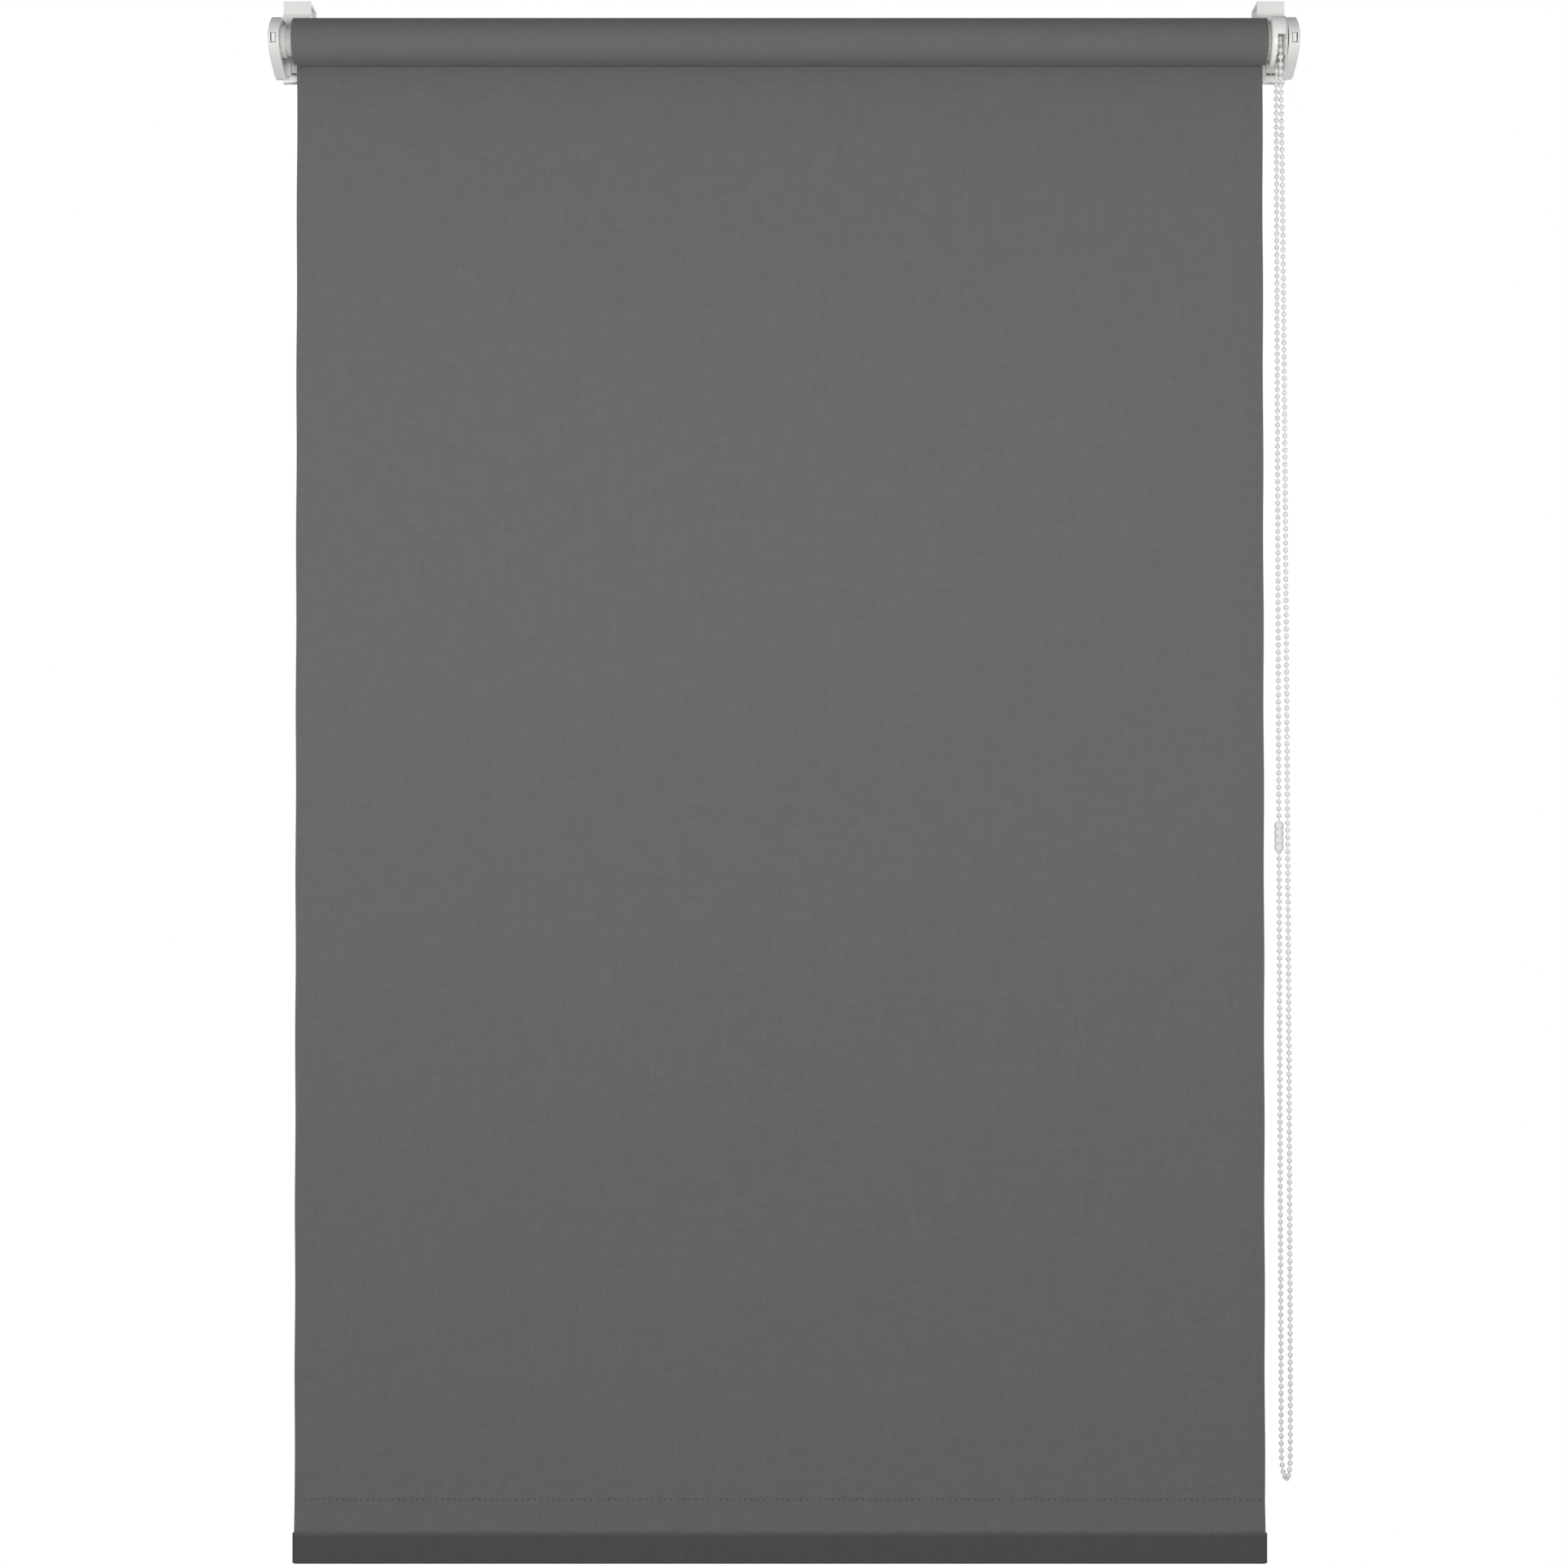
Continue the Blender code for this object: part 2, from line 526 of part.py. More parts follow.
def idler_plug():
    """Flanged plug with a stepped bore for the sprung pin, its inner end closed."""
    flange_in = IDLER_FACE_X + IDLER_FLANGE_THICK
    end = ROLL_LEFT + PLUG_LONG
    mouth, chamber = PIN_R + PIN_PLAY, PIN_HEAD_R + GAP
    profile = [(PLUG_R, end), (PLUG_R, ROLL_LEFT - GAP), (PLUG_R + 1.0, ROLL_LEFT - GAP),
               (PLUG_R + 1.0, flange_in), (IDLER_FLANGE_R - 0.4, flange_in),
               (IDLER_FLANGE_R, flange_in - 0.4), (IDLER_FLANGE_R, IDLER_FACE_X),
               (mouth, IDLER_FACE_X), (mouth, ROLL_LEFT + 2.0), (chamber, ROLL_LEFT + 2.0),
               (chamber, end - 3.0), (0.8, end - 3.0), (0.8, end)]
    piece = turned("idler_plug", profile, AXIS, WHITE, "x", 32)
    return cut(piece, key_bar("idler_key_slot", ROLL_LEFT - GAP, end + 1.0, GAP))


def idler_pin():
    tip = IDLER_FACE_X - PIN_REACH
    head = ROLL_LEFT + 2.0 + GAP
    profile = [(0.0, head + 3.0), (PIN_HEAD_R, head + 3.0), (PIN_HEAD_R, head), (PIN_R, head),
               (PIN_R, tip + 0.6), (PIN_R - 0.6, tip), (0.0, tip)]
    return turned("idler_pin", profile, AXIS, STEEL, "x", 32, closed=False)


def coil(name, radius, wire_radius, low, high, turns, finish):
    """A helical spring about the roller axis between two x values."""
    low, high = low + wire_radius, high - wire_radius
    count = int(turns * 12) + 1
    points = []
    for i in range(count):
        angle = 2 * math.pi * turns * i / (count - 1)
        points.append((low + (high - low) * i / (count - 1), AXIS_Y + radius * math.cos(angle),
                       AXIS_Z + radius * math.sin(angle)))
    return wire(name, points, wire_radius, finish)


def idler_spring():
    low = ROLL_LEFT + 2.0 + GAP + 3.0 + GAP
    return coil("idler_spring", IDLER_SPRING_R, SPRING_WIRE_R, low, ROLL_LEFT + PLUG_LONG - 3.0 - GAP,
                IDLER_SPRING_TURNS, STEEL)


# ---- chain drive -------------------------------------------------------------------------------


def drive_plug():
    """Sleeve keyed in the tube, with a toothed flange outside it."""
    low = ROLL_RIGHT - PLUG_LONG
    flange = ROLL_RIGHT + GAP
    bore = HUB_R + GAP
    profile = [(DRIVE_FLANGE_R, flange + DRIVE_FLANGE_THICK), (DRIVE_FLANGE_R, flange),
               (PLUG_R, flange), (PLUG_R, low), (bore, low), (bore, flange + DRIVE_FLANGE_THICK)]
    piece = turned("drive_plug", profile, AXIS, WHITE, "x", 36)
    cut(piece, key_bar("drive_key_slot", low - 1.0, flange - 0.01, GAP), hub_key("hub_slot", GAP))
    for i in range(DRIVE_TEETH):
        angle = 2 * math.pi * i / DRIVE_TEETH
        centre = (AXIS[0], AXIS_Y + DRIVE_FLANGE_R * math.cos(angle),
                  AXIS_Z + DRIVE_FLANGE_R * math.sin(angle))
        cut(piece, ring(f"drive_tooth_gap_{i}", 0.8, 0.0, flange - 1.0,
                        flange + DRIVE_FLANGE_THICK + 1.0, centre, None, "x", 8))
    return piece


def hub_key(name, clearance):
    """The rib on the wheel's hub that turns the drive plug, or its slot."""
    half = 0.9 + clearance
    return box(name, (HUB_END + 0.5 - clearance, ROLL_RIGHT + 1.0 + clearance),
               (AXIS_Y - half, AXIS_Y + half), (AXIS_Z + HUB_R - 0.5, AXIS_Z + HUB_R + 0.8 + clearance))


def chain_wheel():
    """Grooved wheel for the bead chain on a long hub that reaches into the tube."""
    floor = WHEEL_R - BEAD_R - GAP
    half = BEAD_R + GAP
    groove = [(WHEEL_R - (WHEEL_R - floor) * math.cos(math.radians(a)),
               CHAIN_X + half * math.sin(math.radians(a))) for a in (75, 50, 25, 0, -25, -50, -75)]
    profile = ([(HUB_BORE_R, WHEEL_RIGHT), (WHEEL_RIM_R, WHEEL_RIGHT),
                (WHEEL_RIM_R, CHAIN_X + half)] + groove
               + [(WHEEL_RIM_R, CHAIN_X - half), (WHEEL_RIM_R, WHEEL_LEFT), (HUB_R, WHEEL_LEFT),
                  (HUB_R, HUB_END), (HUB_BORE_R, HUB_END)])
    piece = turned("chain_wheel", profile, AXIS, WHITE, "x", 40)
    join(piece, hub_key("hub_rib", 0.0))
    for i in range(WHEEL_BEADS):
        angle = 2 * math.pi * (i + 0.53) / WHEEL_BEADS
        centre = (AXIS[0], AXIS_Y + WHEEL_RIM_R * math.cos(angle), AXIS_Z + WHEEL_RIM_R * math.sin(angle))
        cut(piece, ring(f"rim_notch_{i}", RIM_NOTCH_R, 0.0, WHEEL_LEFT - 1.0, WHEEL_RIGHT + 1.0,
                        centre, None, "x", 10))
    return piece


def drive_spindle():
    """Fixed axle of the wheel, square where it sits in the cap and the side plate."""
    tip = HUB_END - 5.0
    groove = HUB_END - 1.3
    square_start = HOUSING_RIGHT
    profile = [(0.0, square_start), (SPINDLE_R, square_start), (SPINDLE_R, groove + 0.9),
               (SPINDLE_R - 1.0, groove + 0.9), (SPINDLE_R - 1.0, groove - 0.3),
               (SPINDLE_R, groove - 0.3), (SPINDLE_R, tip + 0.5), (SPINDLE_R - 0.5, tip), (0.0, tip)]
    piece = turned("drive_spindle", profile, AXIS, WHITE, "x", 32, closed=False)
    return join(piece, square_bar("spindle_square", SPINDLE_SQUARE, square_start - 1.0,
                                  PLATE_OUTER_X - 0.4))


def spindle_clip():
    """Open ring in the spindle's groove that keeps the wheel on."""
    groove = HUB_END - 1.3
    piece = ring("spindle_clip", HUB_R - 0.4, SPINDLE_R - 1.0 + 0.2, groove, groove + 0.6, AXIS,
                 STEEL, "x", 32)
    return cut(piece, box("clip_gap", (groove - 1.0, groove + 2.0), (AXIS_Y - 2.4, AXIS_Y + 2.4),
                          (AXIS_Z - 12.0, AXIS_Z)))


def brake_springs():
    """Two wrap springs between the spindle and the hub's bore."""
    radius = (SPINDLE_R + HUB_BORE_R) / 2
    for i, low in enumerate((HUB_END + 3.0, HUB_END + 13.0), 1):
        coil(f"brake_spring_{i}", radius, SPRING_WIRE_R, low, low + 7.0, BRAKE_TURNS, STEEL)


def chain_housing():
    """Drum round the chain wheel, slotted in front and open below for the chain."""
    inner = HOUSING_R - HOUSING_WALL
    wall = WHEEL_LEFT - GAP
    profile = [(HOUSING_R, HOUSING_RIGHT), (HOUSING_R, HOUSING_LEFT + 2.0),
               (HOUSING_R - 0.6, HOUSING_LEFT + 0.6), (HOUSING_R - 2.0, HOUSING_LEFT),
               (HOUSING_BORE_R, HOUSING_LEFT), (HOUSING_BORE_R, wall), (inner, wall),
               (inner, HOUSING_RIGHT)]
    piece = turned("chain_housing", profile, AXIS, CLEAR, "x", 48)
    half = BEAD_R + 0.7
    slot = box("chain_slot", (CHAIN_X - half, CHAIN_X + half), (AXIS_Y - 20.0, AXIS_Y + 20.0),
               (AXIS_Z - 20.0, AXIS_Z + 1.5), None, 0.6)
    mouth = box("chain_mouth", (WHEEL_LEFT - 0.2, HOUSING_RIGHT + 2.0),
                (AXIS_Y - 13.6, AXIS_Y + 13.6), (AXIS_Z - 20.0, AXIS_Z - 10.5))
    return cut(piece, slot, mouth)


def housing_cap():
    low = HOUSING_RIGHT + 0.1
    piece = ring("housing_cap", HOUSING_R, 0.0, low, low + CAP_THICK - 0.3, AXIS, CLEAR, "x", 48)
    return cut(piece, square_bar("cap_socket", SPINDLE_SQUARE + 2 * GAP, low - 1.0, low + 3.0))


# The endless chain: front strand, bottom loop, rear strand. Only the turn on the wheel is separate.


def bead_chain():
    wire("bead_chain", smooth_route(CHAIN_ROUTE, CHAIN_STEP), BEAD_R, BEAD)
    turn = []
    for i in range(17):
        angle = math.pi * i / 16
        turn.append((CHAIN_X, AXIS_Y - WHEEL_R * math.cos(angle),
                     AXIS_Z + WHEEL_R * math.sin(angle)))
    wire("chain_turn", turn, BEAD_R, BEAD)


def chain_joiner():
    """Four-bead connector that travels with the rear strand."""
    half = JOINER_LOBES * BEAD_PITCH / 2
    outer = []
    for lobe in range(JOINER_LOBES):
        top = half - lobe * BEAD_PITCH
        outer += [(JOINER_R - 0.5, top), (JOINER_R, top - BEAD_PITCH * 0.3),
                  (JOINER_R, top - BEAD_PITCH * 0.7)]
    outer.append((JOINER_R - 0.5, -half))
    profile = outer + [(JOINER_BORE_R, -half), (JOINER_BORE_R, half)]
    return turned("chain_joiner", profile, JOINER_AT, CLEAR, "z", 24)


# ---- fabric and bottom bar ---------------------------------------------------------------------
def hanging_fabric():
    half = SHEET_WIDTH / 2
    return box("hanging_fabric", (SHEET_X - half, SHEET_X + half),
               (SHEET_Y - SHEET_THICK / 2, SHEET_Y + SHEET_THICK / 2), (HEM_TOP + GAP, AXIS_Z), FABRIC)


def hem_pocket():
    """Folded pocket: welded at its top, open at both ends, round the bar at its bottom."""
    inner = BAR_THICK / 2 + GAP
    outer = inner + SHEET_THICK
    bar_top = HEM_BOTTOM + SHEET_THICK + GAP + BAR_TALL
    outside = [(SHEET_Y - 0.45, HEM_TOP), (SHEET_Y - 0.5, HEM_TOP - 3.0),
               (SHEET_Y - outer, bar_top), (SHEET_Y - outer, HEM_BOTTOM + HEM_BEVEL),
               (SHEET_Y - outer + HEM_BEVEL, HEM_BOTTOM)]
    hollow = [(SHEET_Y - 0.1, HEM_TOP - 3.5), (SHEET_Y - inner, bar_top + GAP),
              (SHEET_Y - inner, HEM_BOTTOM + SHEET_THICK + HOLLOW_BEVEL),
              (SHEET_Y - inner + HOLLOW_BEVEL, HEM_BOTTOM + SHEET_THICK)]

    def closed_loop(half_loop):
        return half_loop + [(2 * SHEET_Y - y, z) for y, z in reversed(half_loop)]

    half = SHEET_WIDTH / 2
    return plate("hem_pocket", [closed_loop(outside), closed_loop(hollow)],
                 (SHEET_X - half, SHEET_X + half), FABRIC)


def bottom_bar():
    low = HEM_BOTTOM + SHEET_THICK + GAP
    half = SHEET_WIDTH / 2 - 0.5
    thick, wall = BAR_THICK / 2, BAR_WALL
    piece = box("bottom_bar", (SHEET_X - half, SHEET_X + half), (SHEET_Y - thick, SHEET_Y + thick),
                (low, low + BAR_TALL), ALUMINIUM)
    cut(piece, box("bar_hollow", (SHEET_X - half - 1.0, SHEET_X + half + 1.0),
                   (SHEET_Y - thick + wall, SHEET_Y + thick - wall),
                   (low + wall, low + BAR_TALL - wall)))
    for side, label in SIDES:
        end = SHEET_X + side * (half + GAP)
        cap_range = sorted((end, end + side * BAR_CAP_THICK))
        cap = box(label + "_bar_cap", cap_range, (SHEET_Y - thick - 0.2, SHEET_Y + thick + 0.2),
                  (low + 0.1, low + BAR_TALL - 0.1), DARK)
        tongue_range = sorted((end + side * 0.4, end - side * 9.0))
        join(cap, box(label + "_cap_tongue", tongue_range,
                      (SHEET_Y - thick + wall + 0.25, SHEET_Y + thick - wall - 0.25),
                      (low + wall + GAP, low + BAR_TALL - wall - GAP)))
    return piece


def main():
    start()
    for side, label in SIDES:
        hook(side, label)
        carrier(side, label)
        clamp_screw(side, label)
        pad(side, label)
        side_cover(side, label)
        side_plate(side, label)
    roller_tube()
    wound_fabric()
    mounting_tape()
    idler_plug()
    idler_pin()
    idler_spring()
    drive_plug()
    chain_wheel()
    drive_spindle()
    spindle_clip()
    brake_springs()
    chain_housing()
    housing_cap()
    bead_chain()
    chain_joiner()
    hanging_fabric()
    hem_pocket()
    bottom_bar()


main()
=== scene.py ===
"""Clamp-on roller blind: cloth, bead chain, idler spring and finishes round the fixed frame."""

import json
import math

import bmesh
import bpy
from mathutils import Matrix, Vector


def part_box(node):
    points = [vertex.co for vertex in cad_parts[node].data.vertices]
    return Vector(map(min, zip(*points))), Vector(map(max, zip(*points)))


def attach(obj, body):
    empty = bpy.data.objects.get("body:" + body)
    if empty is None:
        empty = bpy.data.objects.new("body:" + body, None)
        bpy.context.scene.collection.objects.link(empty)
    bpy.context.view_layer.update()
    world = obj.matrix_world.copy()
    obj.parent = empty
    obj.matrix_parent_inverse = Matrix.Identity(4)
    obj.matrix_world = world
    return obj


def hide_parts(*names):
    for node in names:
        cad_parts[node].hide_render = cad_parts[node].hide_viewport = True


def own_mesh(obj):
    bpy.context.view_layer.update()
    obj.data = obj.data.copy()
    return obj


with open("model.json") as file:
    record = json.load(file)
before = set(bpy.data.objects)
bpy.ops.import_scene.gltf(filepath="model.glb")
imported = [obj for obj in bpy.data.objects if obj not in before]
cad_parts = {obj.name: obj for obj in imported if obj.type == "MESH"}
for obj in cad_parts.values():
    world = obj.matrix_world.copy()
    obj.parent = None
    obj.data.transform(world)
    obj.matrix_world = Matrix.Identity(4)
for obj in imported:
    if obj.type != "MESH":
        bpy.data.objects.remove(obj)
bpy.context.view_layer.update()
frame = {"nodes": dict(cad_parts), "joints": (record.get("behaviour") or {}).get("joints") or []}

MM = 0.001

# ---- places read from the frame ----------------------------------------------------------------
JOINTS = {j["name"]: j for j in frame["joints"]}
AXIS = Vector(JOINTS["roller_spin"]["pos_m"])
ROLL_LOW, ROLL_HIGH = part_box("wound_fabric")
ROLL_R = (ROLL_HIGH.z - ROLL_LOW.z) / 2
TUBE_R = (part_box("roller_tube")[1].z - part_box("roller_tube")[0].z) / 2
SHEET_LOW, SHEET_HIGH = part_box("hanging_fabric")
SHEET_Y = (SHEET_LOW.y + SHEET_HIGH.y) / 2
HEM_LOW, HEM_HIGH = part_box("hem_pocket")
BAR_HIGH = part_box("bottom_bar")[1]
CLOTH = SHEET_HIGH.y - SHEET_LOW.y
BEAD_R = 1.6 * MM
STRING_R = 0.5 * MM
BEAD_PITCH = 4.4 * MM
WHEEL_BEADS = 13
WHEEL_R = BEAD_PITCH * WHEEL_BEADS / (2 * math.pi)
CHAIN_X = 305.1 * MM
FRONT_Y, REAR_Y = AXIS.y - WHEEL_R, AXIS.y + WHEEL_R


# ---- camera, light and floor -------------------------------------------------------------------
CAMERA_DISTANCE = 2.09
CAMERA_TILT = math.radians(0.75)
CAMERA_AIM_Z = -0.4865
LENS, SENSOR_WIDTH = 77.4, 36.0


def camera():
    aim = Vector((0.0, SHEET_Y, CAMERA_AIM_Z))
    data = bpy.data.cameras.new("camera")
    data.lens = LENS
    data.sensor_width = SENSOR_WIDTH
    obj = bpy.data.objects.new("camera", data)
    bpy.context.scene.collection.objects.link(obj)
    towards = Vector((0.0, math.cos(CAMERA_TILT), math.sin(CAMERA_TILT)))
    obj.location = aim - towards * CAMERA_DISTANCE
    obj.rotation_euler = (math.radians(90) + CAMERA_TILT, 0.0, 0.0)
    bpy.context.scene.camera = obj


SKY_STRENGTH = 0.27
FLOOR_SIZE, FLOOR_Z = 3.0, -1.35


def area_light(name, place, aim, width, height, watts):
    data = bpy.data.lights.new(name, "AREA")
    data.shape = "RECTANGLE"
    data.size, data.size_y = width, height
    data.energy = watts
    obj = bpy.data.objects.new(name, data)
    bpy.context.scene.collection.objects.link(obj)
    obj.location = place
    obj.rotation_euler = (Vector(aim) - Vector(place)).to_track_quat("-Z", "Y").to_euler()


def studio():
    """White surroundings to the camera, dim even light on the blind, and three area lights."""
    world = bpy.data.worlds.new("studio")
    bpy.context.scene.world = world
    world.use_nodes = True
    nodes, links = world.node_tree.nodes, world.node_tree.links
    nodes.clear()
    seen, lit, mix = (nodes.new(n) for n in ("ShaderNodeBackground", "ShaderNodeBackground",
                                             "ShaderNodeMixShader"))
    path, out = nodes.new("ShaderNodeLightPath"), nodes.new("ShaderNodeOutputWorld")
    seen.inputs["Strength"].default_value = 1.0
    seen.inputs["Color"].default_value = (1.0, 1.0, 1.0, 1.0)
    lit.inputs["Color"].default_value = (0.98, 0.99, 1.0, 1.0)
    lit.inputs["Strength"].default_value = SKY_STRENGTH
    links.new(path.outputs["Is Camera Ray"], mix.inputs["Fac"])
    links.new(lit.outputs[0], mix.inputs[1])
    links.new(seen.outputs[0], mix.inputs[2])
    links.new(mix.outputs[0], out.inputs[0])
    area_light("front_bank", place=(0.0, -1.12, -0.28), aim=(0.0, 0.0, -0.30),
               width=3.2, height=0.26, watts=16.0)
    area_light("back_fill", place=(0.6, 1.8, 0.2), aim=(0.0, 0.0, -0.4),
               width=1.6, height=1.6, watts=20.0)
    area_light("left_fill", place=(-1.6, -0.9, -0.2), aim=(0.0, 0.0, -0.2),
               width=0.6, height=0.8, watts=2.5)
    bpy.context.scene.view_settings.view_transform = "Standard"


def floor():
    bpy.ops.mesh.primitive_plane_add(size=FLOOR_SIZE, location=(0.0, 0.0, FLOOR_Z))
    obj = bpy.context.object
    obj.name = "floor"
    mat, _, _, shader = blank("pale_floor")
    shader.inputs["Base Color"].default_value = (0.85, 0.85, 0.85, 1)
    shader.inputs["Roughness"].default_value = 0.6
    obj.data.materials.append(mat)


# ---- shader groups -----------------------------------------------------------------------------
def group(name, inputs, outputs):
    tree = bpy.data.node_groups.new(name, "ShaderNodeTree")
    for label, kind, value in inputs:
        socket = tree.interface.new_socket(label, in_out="INPUT", socket_type=kind)
        socket.default_value = value
    for label, kind in outputs:
        tree.interface.new_socket(label, in_out="OUTPUT", socket_type=kind)
    return tree, tree.nodes.new("NodeGroupInput"), tree.nodes.new("NodeGroupOutput")


def math_node(nodes, links, operation, a, b=None, clamp=False):
    node = nodes.new("ShaderNodeMath")
    node.operation = operation
    node.use_clamp = clamp
    for socket, value in zip(node.inputs, (a, b)):
        if value is None:
            continue
        if isinstance(value, (int, float)):
            socket.default_value = value
        else:
            links.new(value, socket)
    return node.outputs[0]


def blend_colour(nodes, links, factor, a, b):
    node = nodes.new("ShaderNodeMix")
    node.data_type = "RGBA"
    for socket, value in ((node.inputs[0], factor), (node.inputs[6], a), (node.inputs[7], b)):
        if isinstance(value, bpy.types.NodeSocket):
            links.new(value, socket)
        else:
            socket.default_value = value
    return node.outputs[2]


def stretched_noise(nodes, links, vector, stretch, scale, detail=2.0):
    """Noise whose place is scaled along each axis, so that it draws out into streaks."""
    turn = nodes.new("ShaderNodeMapping")
    turn.inputs["Scale"].default_value = stretch
    noise = nodes.new("ShaderNodeTexNoise")
    noise.inputs["Scale"].default_value = scale
    noise.inputs["Detail"].default_value = detail
    links.new(vector, turn.inputs["Vector"])
    links.new(turn.outputs[0], noise.inputs["Vector"])
    return noise.outputs["Fac"]


def weave_group():
    """Plain weave: threads along X and Z that cross, with yarn of uneven thickness."""
    tree, given, out = group(
        "plain_weave",
        [("Vector", "NodeSocketVector", (0, 0, 0)), ("Threads", "NodeSocketFloat", 6300.0),
         ("Light Yarn", "NodeSocketColor", (0.15, 0.15, 0.155, 1)),
         ("Dark Yarn", "NodeSocketColor", (0.11, 0.11, 0.115, 1))],
        [("Color", "NodeSocketColor"), ("Height", "NodeSocketFloat"),
         ("Roughness", "NodeSocketFloat")])
    nodes, links = tree.nodes, tree.links
    scaled = nodes.new("ShaderNodeVectorMath")
    scaled.operation = "SCALE"
    links.new(given.outputs["Vector"], scaled.inputs[0])
    links.new(given.outputs["Threads"], scaled.inputs["Scale"])
    split = nodes.new("ShaderNodeSeparateXYZ")
    links.new(scaled.outputs[0], split.inputs[0])
    warp = math_node(nodes, links, "SINE", split.outputs[0])
    weft = math_node(nodes, links, "SINE", split.outputs[2])
    crossing = math_node(nodes, links, "MULTIPLY", warp, weft)
    drawn_out = 0.16
    slub, cross_slub = (
        stretched_noise(nodes, links, given.outputs["Vector"], stretch, scale=420.0, detail=3.0)
        for stretch in ((1.0, 1.0, drawn_out), (drawn_out, 1.0, 1.0)))
    yarn = math_node(nodes, links, "ADD", slub, cross_slub)
    yarn = math_node(nodes, links, "MULTIPLY", yarn, 0.5)
    crossing_contrast, plain_rough, slub_rough = 0.18, 0.74, 0.2
    shade = math_node(nodes, links, "MULTIPLY", crossing, crossing_contrast)
    shade = math_node(nodes, links, "ADD", shade, yarn, clamp=True)
    links.new(blend_colour(nodes, links, shade, given.outputs["Dark Yarn"],
                           given.outputs["Light Yarn"]), out.inputs["Color"])
    height = math_node(nodes, links, "MULTIPLY", crossing, 0.5)
    links.new(math_node(nodes, links, "ADD", height, yarn), out.inputs["Height"])
    rough = math_node(nodes, links, "MULTIPLY", yarn, slub_rough)
    links.new(math_node(nodes, links, "ADD", rough, plain_rough), out.inputs["Roughness"])
    return tree


def moulding_group():
    """Fine moulded grain over faint, wide flow marks in colour and gloss."""
    tree, given, out = group(
        "moulded_grain",
        [("Vector", "NodeSocketVector", (0, 0, 0)), ("Base", "NodeSocketColor", (0.8, 0.8, 0.8, 1)),
         ("Shade", "NodeSocketColor", (0.6, 0.6, 0.5, 1)), ("Gloss", "NodeSocketFloat", 0.35)],
        [("Color", "NodeSocketColor"), ("Height", "NodeSocketFloat"),
         ("Roughness", "NodeSocketFloat")])
    nodes, links = tree.nodes, tree.links
    flow = nodes.new("ShaderNodeTexNoise")
    flow.inputs["Scale"].default_value = 55.0
    flow.inputs["Detail"].default_value = 2.0
    grain = nodes.new("ShaderNodeTexNoise")
    grain.inputs["Scale"].default_value = 2600.0
    grain.inputs["Detail"].default_value = 2.0
    for node in (flow, grain):
        links.new(given.outputs["Vector"], node.inputs["Vector"])
    mark_start, mark_strength, mark_rough = 0.45, 0.7, 0.14
    tint = math_node(nodes, links, "SUBTRACT", flow.outputs["Fac"], mark_start)
    tint = math_node(nodes, links, "MULTIPLY", tint, mark_strength, clamp=True)
    links.new(blend_colour(nodes, links, tint, given.outputs["Base"], given.outputs["Shade"]),
              out.inputs["Color"])
    links.new(grain.outputs["Fac"], out.inputs["Height"])
    rough = math_node(nodes, links, "MULTIPLY", flow.outputs["Fac"], mark_rough)
    links.new(math_node(nodes, links, "ADD", rough, given.outputs["Gloss"]),
              out.inputs["Roughness"])
    return tree


# ---- materials ---------------------------------------------------------------------------------
def blank(name):
    mat = bpy.data.materials.new(name)
    mat.use_nodes = True
    nodes, links = mat.node_tree.nodes, mat.node_tree.links
    return mat, nodes, links, nodes["Principled BSDF"]


def bumped(nodes, links, shader, height, strength, distance):
    bump = nodes.new("ShaderNodeBump")
    bump.inputs["Strength"].default_value = strength
    bump.inputs["Distance"].default_value = distance
    links.new(height, bump.inputs["Height"])
    links.new(bump.outputs[0], shader.inputs["Normal"])


def cloth_material(name, light, dark, painted_shade_band=None):
    """Woven cloth. Below the painted shade band's low z the cloth takes the band's painted shade
    colour, which fades out by the band's high z.
    """
    mat, nodes, links, shader = blank(name)
    place = nodes.new("ShaderNodeTexCoord")
    weave = nodes.new("ShaderNodeGroup")
    weave.node_tree = WEAVE
    weave.inputs["Light Yarn"].default_value = (*light, 1)
    weave.inputs["Dark Yarn"].default_value = (*dark, 1)
    links.new(place.outputs["Object"], weave.inputs["Vector"])
    colour = weave.outputs["Color"]
    # Painted shade: the cloth is darkened from the bar's top down, standing in for the shadow of
    # the bar inside the hem.
    if painted_shade_band:
        low, high, shade = painted_shade_band
        split = nodes.new("ShaderNodeSeparateXYZ")
        links.new(place.outputs["Object"], split.inputs[0])
        ramp = nodes.new("ShaderNodeMapRange")
        ramp.inputs["From Min"].default_value = low
        ramp.inputs["From Max"].default_value = high
        links.new(split.outputs[2], ramp.inputs["Value"])
        tint = nodes.new("ShaderNodeMix")
        tint.data_type = "RGBA"
        tint.blend_type = "MULTIPLY"
        tint.inputs[0].default_value = 1.0
        links.new(colour, tint.inputs[6])
        links.new(blend_colour(nodes, links, ramp.outputs[0], (*shade, 1), (1, 1, 1, 1)),
                  tint.inputs[7])
        colour = tint.outputs[2]
    links.new(colour, shader.inputs["Base Color"])
    links.new(weave.outputs["Roughness"], shader.inputs["Roughness"])
    bumped(nodes, links, shader, weave.outputs["Height"], strength=0.35, distance=0.2 * MM)
    shader.inputs["Sheen Weight"].default_value = 0.12
    shader.inputs["Sheen Roughness"].default_value = 0.4
    shader.inputs["Specular IOR Level"].default_value = 0.2
    return mat


